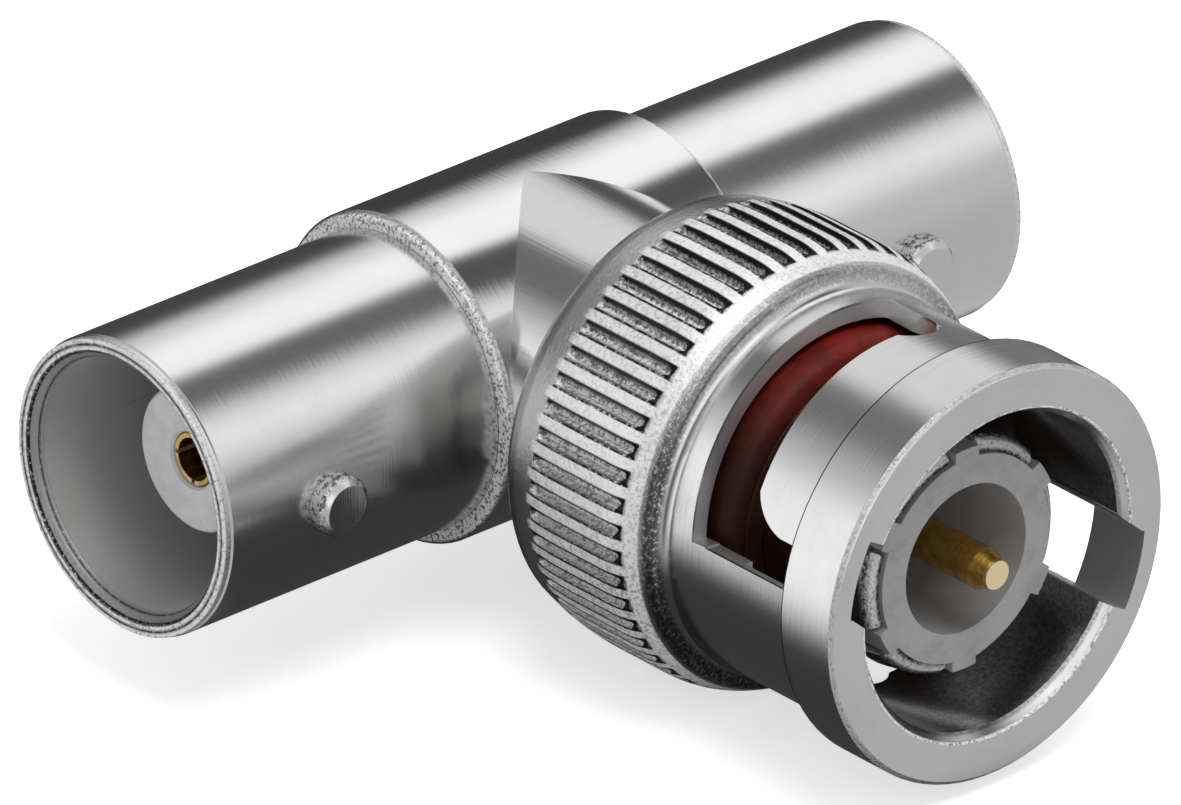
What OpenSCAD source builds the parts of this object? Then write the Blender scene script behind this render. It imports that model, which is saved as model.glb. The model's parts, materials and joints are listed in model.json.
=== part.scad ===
// Coaxial bayonet tee adapter: two jacks in line and one plug across them.
// The plug looks along -Y, the jacks along -X and +X. The origin lies on the
// plug's axis, in the plane of the face of the plug's front insulator.
// Lengths called "at" are measured from the tee's centre, along the plug's
// axis or along a jack's axis. Turns about the plug's axis start at the top.

/* [Tee body] */
// How far the body and its branch stand out past the jacks' shells
body_step = 0.525; // [0.4:0.005:0.7]
// Half length of the body along the jacks
body_half = 5.28; // [5:0.02:6]
// Distance from the jacks' axis to the face of the plug's insulator
plug_reach = 20.1; // [19.6:0.1:22]
// Where the branch ends, inside the coupling nut
branch_end = 8.2; // [7.9:0.05:8.6]
// Bevel at the body's ends
body_bevel = 0.18; // [0.05:0.01:0.3]

/* [Jacks] */
// Where the jacks' rims lie
rim_at = 16.3; // [15.5:0.1:18]
// Outer radius of a jack's shell
shell_r = 4.825; // [4.7:0.005:4.95]
// Thickness of a jack's shell around its hollow
shell_wall = 0.755; // [0.7:0.005:0.8]
// Depth of the ring-shaped hollow inside a jack
hollow_depth = 8.7; // [7:0.1:9]
// Width of the lead-in bevel inside the rim
rim_lead = 0.32; // [0.1:0.01:0.4]
// Length of that bevel
rim_lead_length = 0.6; // [0.2:0.05:1]
// Bevel outside the rim
rim_bevel = 0.14; // [0.05:0.01:0.25]
// How much smaller the shank is that is pressed into the body
shank_step = 0.625; // [0.5:0.025:0.9]
// Length of the shank
shank_length = 2.05; // [1.5:0.05:2.1]

/* [Bayonet lugs] */
// Distance from a jack's rim to its lugs' middle
lug_setback = 4.3; // [3.5:0.1:5]
// Radius of a lug's head
lug_r = 0.98; // [0.85:0.01:1]
// How far a lug stands out of the shell
lug_height = 0.675; // [0.6:0.005:0.75]
// Bevel on a lug's tip
lug_bevel = 0.22; // [0.1:0.01:0.3]
// Radius of the shank that is riveted in the shell
lug_shank_r = 0.65; // [0.5:0.01:0.75]

/* [Jack insulation] */
// Radius of the insulator's nose
nose_r = 2.32; // [2.2:0.01:2.42]
// Distance from the rim back to the nose's face
nose_setback = 2.8; // [2.6:0.1:3.6]
// Radius of the insulators in the jacks' bores
core_r = 3; // [2.7:0.05:3.05]
// Half of the gap between the two core bushes
core_gap = 1.4; // [1.32:0.02:1.6]

/* [Centre conductor] */
// Radius of a socket contact's bore
socket_r = 0.7; // [0.69:0.01:0.75]
// Depth of a socket contact's bore
socket_depth = 5; // [4.5:0.1:5.5]
// Outer radius of a socket contact
contact_r = 0.88; // [0.85:0.01:1.1]
// Radius of the flange that is held between the insulators
contact_flange_r = 1.5; // [1.3:0.05:1.8]
// Thickness of that flange
contact_flange_t = 0.4; // [0.3:0.05:0.6]
// Distance from the nose's face back to the contact's mouth
contact_setback = 0.1; // [0.05:0.05:0.6]
// Width of the slits in a socket contact
slit_w = 0.14; // [0.1:0.01:0.16]
// Length of the slits in a socket contact
slit_length = 3.2; // [2:0.1:4]
// Radius of the cross conductor
cross_r = 0.75; // [0.65:0.01:0.85]
// Radius of its boss, which the plug's pin screws into
boss_r = 1.2; // [1.1:0.02:1.35]
// Half length of the boss
boss_half = 1.25; // [1.1:0.05:1.28]
// Radius of the spigots and of the pin's stud
spigot_r = 0.45; // [0.4:0.01:0.5]
// Length of a spigot
spigot_length = 1.8; // [1.4:0.1:2]

/* [Plug pin and insulators] */
// Radius of the pin
pin_r = 0.675; // [0.66:0.005:0.685]
// Where the pin's tip lies
pin_tip_at = 21.5; // [21:0.1:21.8]
// Length of the taper at the tip
pin_taper = 0.62; // [0.3:0.02:0.8]
// Radius of the flat at the tip
pin_flat_r = 0.47; // [0.3:0.01:0.55]
// Depth of the relief where the pin passes the hollow's floor
pin_relief = 0.18; // [0.16:0.01:0.25]
// Radius of the pin's shank inside the insulators
pin_shank_r = 0.9; // [0.8:0.05:1]
// Outer radius of the front insulator
front_ins_r = 3.42; // [3.3:0.01:3.5]
// Radius of the hollow around the pin
well_r = 2.45; // [2.3:0.01:2.5]
// Depth of the hollow around the pin
well_depth = 5; // [4.5:0.1:5.3]
// Thickness of the hollow's floor
well_floor = 0.5; // [0.4:0.05:0.8]
// Width of the ribs that stand in the sleeve's slots
rib_w = 0.95; // [0.7:0.05:1]
// Outer radius of those ribs
rib_r = 3.76; // [3.65:0.01:3.9]
// Outer radius of the rear insulator
rear_ins_r = 2.78; // [2.5:0.02:2.9]
// Where the rear insulator starts
rear_ins_at = 3.25; // [3.15:0.05:4]

/* [Plug sleeve] */
// Outer radius of the sleeve's neck, which the nut turns on
neck_r = 4; // [3.95:0.01:4.05]
// Radius of the stem that is pressed into the branch
stem_r = 3.6; // [3.4:0.05:3.7]
// Length of the stem
stem_length = 3.2; // [2.5:0.1:3.4]
// Radius of the flange that holds the spring
flange_r = 4.9; // [4.7:0.05:5.1]
// Thickness of that flange
flange_t = 1.65; // [1.2:0.05:1.8]
// Outer radius of the fingers
finger_r = 3.93; // [3.9:0.01:3.97]
// Inner radius of the fingers
finger_bore_r = 3.44; // [3.4:0.01:3.52]
// Largest radius of the swell at the fingers' tips
swell_r = 4.03; // [4:0.01:4.05]
// Length of the swell
swell_length = 2.4; // [1.8:0.1:3]
// Outer radius of the fingers' tips, ahead of the swell
tip_r = 3.88; // [3.8:0.01:3.95]
// Radius of the flat at the fingers' tips
tip_flat_r = 3.6; // [3.55:0.01:3.7]
// Distance from the insulator's face back to the fingers' tips
finger_setback = 0.15; // [0.05:0.01:0.4]
// Length of the slots between the fingers
finger_slot_length = 4; // [3:0.1:4.2]
// Width of the slots between the fingers
finger_slot_w = 1.25; // [1.05:0.05:1.4]
// Number of fingers
fingers = 6; // [4, 6, 8]

/* [Coupling nut] */
// Where the nut's rear face lies
nut_rear_at = 6.9; // [6.6:0.1:7.2]
// Where the nut's front face lies
nut_front_at = 21.54; // [21.2:0.02:22.4]
// Largest radius of the knurled band
knurl_r = 7.3; // [7.1:0.05:7.6]
// Where the knurled band ends
knurl_end_at = 13.2; // [12.9:0.05:13.4]
// How much smaller the nut's rear edge is than the knurled band
rear_drop = 0.52; // [0.3:0.02:0.6]
// Length over which the nut's rear edge slopes
rear_slope = 0.76; // [0.4:0.02:1]
// Radius of the crown at the band's rear
crown_r = 9.3; // [7:0.1:12]
// Radius of the crown at the band's front
crown_front_r = 2.8; // [2:0.1:4]
// Length of the grooves
groove_length = 4; // [3:0.1:4.4]
// Distance from the nut's rear face to the grooves
groove_setback = 1.55; // [1.3:0.05:2]
// Depth of the grooves
groove_depth = 0.3; // [0.15:0.01:0.4]
// Width of a groove at its mouth
groove_w = 0.42; // [0.25:0.01:0.5]
// Number of grooves
grooves = 51; // [36:1:60]
// Turn of the first groove in degrees
groove_start = 1.22; // [0:0.02:7]
// Radius of the nut's middle
mid_r = 6.24; // [6.15:0.01:6.4]
// Radius of the ring at the nut's front
ring_r = 6.81; // [6.6:0.01:7.1]
// Length of the ring
ring_length = 2.25; // [1.8:0.05:2.6]
// Radius of the bore at the front
nut_bore_r = 5.2; // [5.1:0.01:5.3]
// Width of the lead-in bevel at the front
nut_lead = 0.24; // [0.1:0.01:0.35]
// Length of the lead-in bevel at the front
nut_lead_length = 0.35; // [0.2:0.01:0.5]
// Radius of the chamber inside the nut
chamber_r = 5.65; // [5.6:0.01:5.75]
// Thickness of the inner flange that turns on the sleeve's neck
inner_flange_t = 1.4; // [1:0.05:1.6]

/* [Bayonet slots] */
// Outer radius of the entry groove under the ring
entry_r = 6.05; // [5.9:0.01:6.12]
// Turn at which an entry groove starts
entry_from = 275; // [265:1:280]
// Width of an entry groove in degrees
entry_turn = 24.5; // [23:0.5:28]
// Radius of the rounded corner between an entry groove and the bore
entry_round_r = 0.45; // [0.3:0.01:0.5]
// Degrees from that corner's start to the entry groove
entry_lead = 8.5; // [7:0.1:10]
// Turn of the whole cam slot in degrees
cam_turn = 104; // [90:0.5:115]
// Where the cam slot's rear wall lies at its middle plane
cam_at = 14.72; // [14.5:0.02:15]
// Width of the cam slot
cam_w = 2.43; // [2.25:0.01:2.6]
// Lean of the cam slot in degrees
cam_lean = 4; // [2:0.5:5]
// Radius of the rounded end of the land between slot and ring
land_round_r = 1.8; // [1.2:0.01:2]
// Degrees of open wall beside the entry, at the slot that keeps a thin lip over its groove
lip_slot_open = 13.5; // [12:0.5:20]
// How far the lock pocket reaches past the cam slot
pocket_depth = 0.45; // [0.1:0.01:0.5]
// Radius of the lock pocket
pocket_r = 1.05; // [1.02:0.01:1.2]

/* [Seal and springs] */
// Outer radius of the gasket
gasket_r = 5.38; // [5.1:0.01:5.5]
// Thickness of the gasket
gasket_t = 1.95; // [1:0.05:2.1]
// Height of the ridge on the gasket
ridge_h = 0.08; // [0.05:0.01:0.3]
// Free height of the wave spring
spring_h = 1.5; // [1.2:0.05:1.7]
// Thickness of the wave spring's strip
spring_t = 0.26; // [0.15:0.01:0.35]
// Number of waves
waves = 3; // [2:1:5]
// Thickness of the thrust washers
washer_t = 0.25; // [0.15:0.01:0.3]
// Outer radius of the front washer and the spring
washer_r = 5.2; // [4.8:0.05:5.3]
// How much smaller than the branch the rear washer is
washer_step = 0.15; // [0.05:0.01:0.3]

/* [Fits] */
// Clearance of a piece that is pressed or slid into its seat
seat_gap = 0.02; // [0.01:0.01:0.04]
// Clearance of the nut on the branch and on the neck
running_gap = 0.08; // [0.05:0.01:0.1]
// Clearance of the nut along the plug's axis
end_gap = 0.05; // [0.03:0.01:0.1]
// Clearance around the neck for washers and spring
washer_gap = 0.12; // [0.1:0.01:0.2]

/* [Hidden] */
// Facets of round shapes
$fn = 96;
// How far a cut runs past the face that it cuts
over = 0.5;
// Half a turn, for what comes in pairs
half_turn = 180;
// Turn at which the cam slot leans furthest back
lean_towards = 350;
// Share of the crown's length that is straight, from the band's rear
crown_rear_share = 0.43;
crown_front_share = 0.75;
// Widths and radii as shares of the pieces that carry them
groove_floor_share = 0.35;
foot_fillet_share = 0.06;
ring_edge_share = 0.06;
gasket_round_share = 0.25;
mouth_bevel_share = 0.1;
flange_bevel_share = 0.12;
// Angle between the plug's top and the first slot of the sleeve
slot_start = 0;
// Segments of the wave spring round its turn
spring_steps = 72;

body_r = shell_r + body_step;
shell_bore_r = shell_r - shell_wall;
shank_r = shell_r - shank_step;
lug_tip = shell_r + lug_height;
nose_at = rim_at - nose_setback;
hollow_at = rim_at - hollow_depth;
contact_mouth_at = nose_at - contact_setback;
shank_at = body_half - shank_length;
contact_flange_at = body_half - contact_flange_t / 2;
contact_flange_back = contact_flange_at - contact_flange_t;
contact_tail_at = contact_flange_back - (spigot_length - contact_flange_t) / 2;
spigot_end_at = contact_tail_at + spigot_length;
lug_at = rim_at - lug_setback;

stem_at = branch_end - stem_length;
well_floor_at = plug_reach - well_depth;
step_at = well_floor_at - well_floor;
pin_wall_at = well_floor_at + end_gap;
finger_tip_at = plug_reach - finger_setback;
finger_slot_at = finger_tip_at - finger_slot_length;
rear_washer_at = branch_end;
inner_flange_at = rear_washer_at + washer_t + end_gap;
front_washer_at = inner_flange_at + inner_flange_t + end_gap;
spring_at = front_washer_at + washer_t;
flange_at = spring_at + spring_h;
gasket_at = flange_at + flange_t;
ring_at = nut_front_at - ring_length;
land_at = cam_at + cam_w - mid_r * sin(cam_lean);
band_length = knurl_end_at - nut_rear_at;
crown_at = nut_rear_at + band_length * crown_rear_share;
crown_front_at = nut_rear_at + band_length * crown_front_share;
washer_bore_r = neck_r + washer_gap;

// Places what is drawn along +Z from the tee's centre along the plug's axis
module on_plug() {
    translate([0, plug_reach, 0]) rotate([90, 0, 0]) children();
}

// Places what is drawn along +Z from the tee's centre along a jack's axis
module on_jack(side) {
    translate([0, plug_reach, 0]) mirror([side < 0 ? 1 : 0, 0, 0]) rotate([0, 90, 0])
        rotate([0, 0, 90]) children();
}

// A ring between two radii
module ring(r_in, r_out, at, length) {
    translate([0, 0, at]) difference() {
        cylinder(r = r_out, h = length);
        translate([0, 0, -over]) cylinder(r = r_in, h = length + 2 * over);
    }
}

// A sector of a ring, its turn measured from the top as the nut's turns are
module sector(r_in, r_out, at, length, from, turn) {
    translate([0, 0, at]) rotate([0, 0, 90 - from - turn])
        rotate_extrude(angle = turn)
            translate([r_in, 0]) square([r_out - r_in, length]);
}

module tee_body() {
    color("silver") difference() {
        union() {
            on_jack(1) body_barrel();
            on_jack(-1) body_barrel();
            intersection() {
                on_plug() cylinder(r = body_r, h = branch_end);
                on_plug() translate([-body_half, -body_r - over, -over])
                    cube([2 * body_half, 2 * (body_r + over), branch_end + 2 * over]);
            }
        }
        for (side = [-1, 1]) on_jack(side) {
            cylinder(r = core_r, h = body_half + over);
            translate([0, 0, shank_at]) cylinder(r = shank_r, h = shank_length + over);
        }
        on_plug() {
            cylinder(r = core_r, h = stem_at + over);
            translate([0, 0, stem_at]) cylinder(r = stem_r, h = stem_length + over);
        }
    }
}

// Half of the body, with the bevel at its end
module body_barrel() {
    rotate_extrude() polygon([
        [0, 0],
        [body_r, 0],
        [body_r, body_half - body_bevel],
        [body_r - body_bevel, body_half],
        [0, body_half]
    ]);
}

module jack_shell(side) {
    color("gainsboro") difference() {
        on_jack(side) rotate_extrude() polygon([
            [core_r, shank_at],
            [shank_r - seat_gap, shank_at],
            [shank_r - seat_gap, body_half],
            [shell_r, body_half],
            [shell_r, rim_at - rim_bevel],
            [shell_r - rim_bevel, rim_at],
            [shell_bore_r + rim_lead, rim_at],
            [shell_bore_r, rim_at - rim_lead_length],
            [shell_bore_r, hollow_at],
            [core_r, hollow_at]
        ]);
        on_jack(side) for (turn = [0, half_turn])
            lug_place(turn) translate([0, 0, shell_bore_r - over])
                cylinder(r = lug_shank_r, h = shell_r - shell_bore_r + 2 * over);
    }
}

// Turns what is drawn along +Z into the direction of a lug
module lug_place(turn) {
    translate([0, 0, lug_at]) rotate([0, 0, turn]) rotate([0, 90, 0]) children();
}

module bayonet_lugs(side) {
    color("silver") on_jack(side) for (turn = [0, half_turn]) difference() {
        lug_place(turn) rotate_extrude() polygon([
            [0, shell_bore_r],
            [lug_shank_r - seat_gap, shell_bore_r],
            [lug_shank_r - seat_gap, shell_r - over],
            [lug_r, shell_r - over],
            [lug_r, lug_tip - lug_bevel],
            [lug_r - lug_bevel, lug_tip],
            [0, lug_tip]
        ]);
        // The head's underside follows the shell
        translate([0, 0, lug_at - 2 * lug_r]) difference() {
            cylinder(r = shell_r, h = 4 * lug_r);
            translate([0, 0, 2 * lug_r]) rotate([0, 0, turn]) rotate([0, 90, 0])
                cylinder(r = lug_shank_r - seat_gap, h = shell_r + over);
        }
        translate([0, 0, lug_at - 2 * lug_r]) cylinder(r = shell_bore_r, h = 4 * lug_r);
    }
}

module jack_insulator(side) {
    color("white") on_jack(side) rotate_extrude() polygon([
        [contact_flange_r + seat_gap, contact_flange_back],
        [core_r - seat_gap, contact_flange_back],
        [core_r - seat_gap, hollow_at],
        [nose_r, hollow_at],
        [nose_r, nose_at - nose_r * mouth_bevel_share / 3],
        [nose_r - nose_r * mouth_bevel_share / 3, nose_at],
        [contact_r + contact_r * mouth_bevel_share, nose_at],
        [contact_r + seat_gap, nose_at - contact_r * mouth_bevel_share],
        [contact_r + seat_gap, contact_flange_at],
        [contact_flange_r + seat_gap, contact_flange_at]
    ]);
}

module core_bush(side) {
    color("white") on_jack(side) rotate_extrude() polygon([
        [cross_r + seat_gap, core_gap],
        [core_r - seat_gap, core_gap],
        [core_r - seat_gap, contact_flange_back],
        [contact_r + seat_gap, contact_flange_back],
        [contact_r + seat_gap, contact_tail_at],
        [cross_r + seat_gap, contact_tail_at]
    ]);
}

module socket_contact(side) {
    color("gold") on_jack(side) difference() {
        rotate_extrude() polygon([
            [spigot_r + seat_gap, contact_tail_at],
            [contact_r, contact_tail_at],
            [contact_r, contact_flange_back],
            [contact_flange_r, contact_flange_back],
            [contact_flange_r, contact_flange_at],
            [contact_r, contact_flange_at],
            [contact_r, contact_mouth_at - contact_r * mouth_bevel_share],
            [contact_r - contact_r * mouth_bevel_share / 2, contact_mouth_at],
            [socket_r, contact_mouth_at],
            [socket_r, contact_mouth_at - socket_depth],
            [0, contact_mouth_at - socket_depth],
            [0, spigot_end_at + over / 2],
            [spigot_r + seat_gap, spigot_end_at + over / 2]
        ]);
        for (turn = [0, 90]) rotate([0, 0, turn])
            translate([-contact_r - over, -slit_w / 2, contact_mouth_at - slit_length])
                cube([2 * (contact_r + over), slit_w, slit_length + over]);
    }
}

module cross_conductor() {
    color("gold") difference() {
        union() {
            for (side = [-1, 1]) on_jack(side) {
                cylinder(r = boss_r, h = boss_half);
                cylinder(r = cross_r, h = contact_tail_at);
                cylinder(r = spigot_r, h = spigot_end_at);
            }
        }
        on_plug() translate([0, 0, -cross_r])
            cylinder(r = spigot_r + seat_gap, h = cross_r + boss_r + over);
    }
}

module plug_pin() {
    color("goldenrod") on_plug() rotate_extrude() polygon([
        [0, -cross_r + seat_gap],
        [spigot_r, -cross_r + seat_gap],
        [spigot_r, boss_r],
        [pin_shank_r, boss_r],
        [pin_shank_r, step_at],
        [pin_r - pin_relief, step_at],
        [pin_r - pin_relief, pin_wall_at],
        [pin_r, pin_wall_at],
        [pin_r, pin_tip_at - pin_taper],
        [pin_flat_r, pin_tip_at],
        [0, pin_tip_at]
    ]);
}

module plug_front_insulator() {
    color("lightgray") on_plug() difference() {
        union() {
            translate([0, 0, step_at]) cylinder(r = front_ins_r, h = plug_reach - step_at);
            intersection() {
                translate([0, 0, finger_slot_at]) cylinder(r = rib_r, h = plug_reach - finger_slot_at);
                for (i = [0 : fingers - 1]) finger_slot_place(i)
                    translate([0, -rib_w / 2, finger_slot_at + seat_gap])
                        cube([rib_r + over, rib_w, plug_reach - finger_slot_at]);
            }
        }
        translate([0, 0, well_floor_at]) cylinder(r = well_r, h = well_depth + over);
        translate([0, 0, step_at - over])
            cylinder(r = pin_r + seat_gap, h = well_floor + 2 * over);
    }
}

module plug_rear_insulator() {
    color("white") on_plug()
        ring(pin_shank_r + seat_gap, rear_ins_r, rear_ins_at, step_at - rear_ins_at);
}

// Turns the slot or rib of number i into place
module finger_slot_place(i) {
    rotate([0, 0, 90 - slot_start - i * 2 * half_turn / fingers]) children();
}

module plug_sleeve() {
    flange_bevel = flange_t * flange_bevel_share;
    tip_bevel = tip_r - tip_flat_r;
    color("silver") on_plug() difference() {
        rotate_extrude() polygon([
            [rear_ins_r + seat_gap, stem_at],
            [stem_r - seat_gap, stem_at],
            [stem_r - seat_gap, branch_end],
            [neck_r, branch_end],
            [neck_r, flange_at],
            [flange_r - flange_bevel, flange_at],
            [flange_r, flange_at + flange_bevel],
            [flange_r, gasket_at - flange_bevel],
            [flange_r - flange_bevel, gasket_at],
            [finger_r, gasket_at],
            [finger_r, finger_tip_at - swell_length],
            [swell_r, finger_tip_at - swell_length / 2],
            [tip_r, finger_tip_at - tip_bevel],
            [tip_flat_r, finger_tip_at],
            [finger_bore_r, finger_tip_at],
            [finger_bore_r, step_at],
            [rear_ins_r + seat_gap, step_at]
        ]);
        for (i = [0 : fingers - 1]) finger_slot_place(i)
            translate([0, -finger_slot_w / 2, finger_slot_at])
                cube([swell_r + over, finger_slot_w, finger_slot_length + over]);
    }
}

// Outline of the knurled band, crowned at both ends
module band_outline() {
    intersection() {
        translate([0, nut_rear_at]) polygon([
            [0, 0],
            [knurl_r - rear_drop, 0],
            [knurl_r, rear_slope],
            [knurl_r, band_length],
            [0, band_length]
        ]);
        union() {
            translate([knurl_r - crown_r, crown_at]) circle(r = crown_r);
            translate([0, crown_at]) square([knurl_r, crown_front_at - crown_at]);
            translate([knurl_r - crown_front_r, crown_front_at]) circle(r = crown_front_r);
            translate([0, crown_front_at]) square([mid_r, band_length]);
        }
    }
}

// Outline of the nut's solid metal, before its bores and slots
module nut_outline() {
    foot = knurl_r * foot_fillet_share;
    edge = ring_r * ring_edge_share / 4;
    difference() {
        union() {
            band_outline();
            translate([0, nut_rear_at]) square([mid_r, nut_front_at - nut_rear_at]);
            translate([0, ring_at]) square([ring_r, ring_length]);
            difference() {
                translate([0, knurl_end_at - over]) square([mid_r + foot, foot + over]);
                translate([mid_r + foot, knurl_end_at + foot]) circle(r = foot);
            }
        }
        translate([ring_r, nut_front_at]) rotate([0, 0, 45]) square(2 * edge, center = true);
    }
}

// Outline of what is bored out of the nut
module nut_bores() {
    translate([0, nut_rear_at - over]) square([body_r + running_gap, inner_flange_at - nut_rear_at + over]);
    square([neck_r + running_gap, nut_front_at]);
    translate([0, inner_flange_at + inner_flange_t])
        square([chamber_r, land_at - inner_flange_at - inner_flange_t]);
    translate([0, land_at - over]) square([nut_bore_r, nut_front_at - land_at + 2 * over]);
    translate([0, nut_front_at]) polygon([
        [0, over],
        [nut_bore_r + nut_lead, over],
        [nut_bore_r + nut_lead, 0],
        [nut_bore_r, -nut_lead_length],
        [0, -nut_lead_length]
    ]);
}

module coupling_nut() {
    color("silver") on_plug() difference() {
        rotate_extrude() difference() {
            nut_outline();
            nut_bores();
        }
        for (i = [0 : grooves - 1]) rotate([0, 0, groove_start + i * 2 * half_turn / grooves])
            translate([0, 0, nut_rear_at + groove_setback]) groove();
        bayonet_slot(0, lip_slot_open);
        bayonet_slot(half_turn, entry_turn);
    }
}

// One groove of the knurl, wider at its mouth than at its floor, with round ends
module groove() {
    floor_r = knurl_r - groove_depth;
    foot = groove_w * groove_floor_share / 2;
    mouth = foot + (groove_w / 2 - foot) * (groove_depth + over) / groove_depth;
    translate([0, 0, groove_w / 2]) linear_extrude(groove_length - groove_w) polygon([
        [floor_r, -foot],
        [knurl_r + over, -mouth],
        [knurl_r + over, mouth],
        [floor_r, foot]
    ]);
    for (end = [groove_w / 2, groove_length - groove_w / 2])
        translate([floor_r, 0, end]) rotate([0, 90, 0])
            cylinder(r1 = foot, r2 = mouth, h = groove_depth + over);
}

// Outline cut away between the bore and an entry groove. A round corner stays, and starts on +X
module entry_corner(inner_r) {
    centre = [nut_bore_r + entry_round_r, 0];
    side = [cos(entry_lead + over), -sin(entry_lead + over)];
    corner = (entry_r - seat_gap) * side;
    way = corner - centre;
    touch_turn = atan2(way[1], way[0]) - acos(entry_round_r / norm(way));
    difference() {
        polygon([
            [inner_r, 0],
            centre,
            centre + entry_round_r * [cos(touch_turn), sin(touch_turn)],
            corner,
            inner_r * side
        ]);
        translate(centre) circle(r = entry_round_r);
    }
}

// One bayonet slot: entry groove, cam slot and lock pocket, open through the wall for open_turn
module bayonet_slot(turn, open_turn) {
    inner_r = nut_bore_r - over;
    outer_r = mid_r + over;
    cam_end = entry_from + cam_turn + turn;
    pocket_turn = pocket_r / mid_r * half_turn / PI;
    round_turn = asin((land_round_r - seat_gap) / mid_r);
    round_end = entry_from + open_turn + round_turn + turn;
    // Entry groove under the ring, and through the wall behind it
    sector(inner_r, entry_r, land_at, nut_front_at - land_at + over, entry_from + turn, entry_turn);
    translate([0, 0, land_at]) rotate([0, 0, 90 - entry_from + entry_lead - turn])
        linear_extrude(nut_front_at - land_at + over) entry_corner(inner_r);
    sector(inner_r, outer_r, cam_at + over, ring_at - cam_at - over, entry_from + turn, open_turn);
    // Rounded end of the land beside the entry
    rotate([0, 0, 90 - round_end]) rotate([90, 0, 90]) translate([0, land_at, inner_r])
        linear_extrude(outer_r - inner_r) difference() {
            translate([0, -over]) square([land_round_r, land_round_r + over]);
            translate([0, land_round_r]) circle(r = land_round_r);
        }
    // Cam slot, leaning with the turn
    translate([0, 0, cam_at])
        rotate(a = cam_lean, v = [-sin(90 - lean_towards - turn), cos(90 - lean_towards - turn), 0])
            sector(inner_r, outer_r, 0, cam_w, entry_from + turn, cam_turn);
    // Lock pocket
    translate([0, 0, land_at + pocket_depth - pocket_r])
        rotate([0, 0, 90 - cam_end + pocket_turn]) rotate([0, 90, 0])
            translate([0, 0, inner_r]) cylinder(r = pocket_r, h = outer_r - inner_r);
}

module gasket() {
    round_r = gasket_t * gasket_round_share;
    color("firebrick") on_plug() rotate_extrude() {
        difference() {
            translate([finger_r + seat_gap, gasket_at])
                square([gasket_r - finger_r - seat_gap, gasket_t]);
            translate([gasket_r - round_r, gasket_at + gasket_t - round_r])
                square(round_r + over);
        }
        translate([gasket_r - round_r, gasket_at + gasket_t - round_r]) circle(r = round_r);
        translate([(finger_r + gasket_r) / 2, gasket_at + gasket_t]) circle(r = ridge_h);
    }
}

module front_thrust_washer() {
    color("lightsteelblue") on_plug() ring(washer_bore_r, washer_r, front_washer_at, washer_t);
}

module rear_thrust_washer() {
    color("lightsteelblue") on_plug()
        ring(washer_bore_r, body_r - washer_step, rear_washer_at, washer_t);
}

module wave_spring() {
    lift = (spring_h - spring_t) / 2;
    step = 2 * half_turn / spring_steps;
    corners = [
        for (i = [0 : spring_steps - 1], c = [[0, 0], [1, 0], [1, 1], [0, 1]])
            let (r = c[0] == 0 ? washer_bore_r : washer_r, a = i * step)
                [r * cos(a), r * sin(a), spring_at + lift + lift * sin(waves * a) + c[1] * spring_t]
    ];
    sides = [
        for (i = [0 : spring_steps - 1], c = [0 : 3])
            let (j = (i + 1) % spring_steps, d = (c + 1) % 4)
                [4 * i + c, 4 * i + d, 4 * j + d, 4 * j + c]
    ];
    color("lightsteelblue") on_plug() polyhedron(points = corners, faces = sides);
}

tee_body();
jack_shell(-1);  // left_jack_shell
jack_shell(1);  // right_jack_shell
bayonet_lugs(-1);  // left_bayonet_lugs
bayonet_lugs(1);  // right_bayonet_lugs
jack_insulator(-1);  // left_jack_insulator
jack_insulator(1);  // right_jack_insulator
core_bush(-1);  // left_core_bush
core_bush(1);  // right_core_bush
socket_contact(-1);  // left_socket_contact
socket_contact(1);  // right_socket_contact
cross_conductor();
plug_pin();
plug_front_insulator();
plug_rear_insulator();
plug_sleeve();
coupling_nut();
gasket();
wave_spring();
front_thrust_washer();
rear_thrust_washer();
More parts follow.
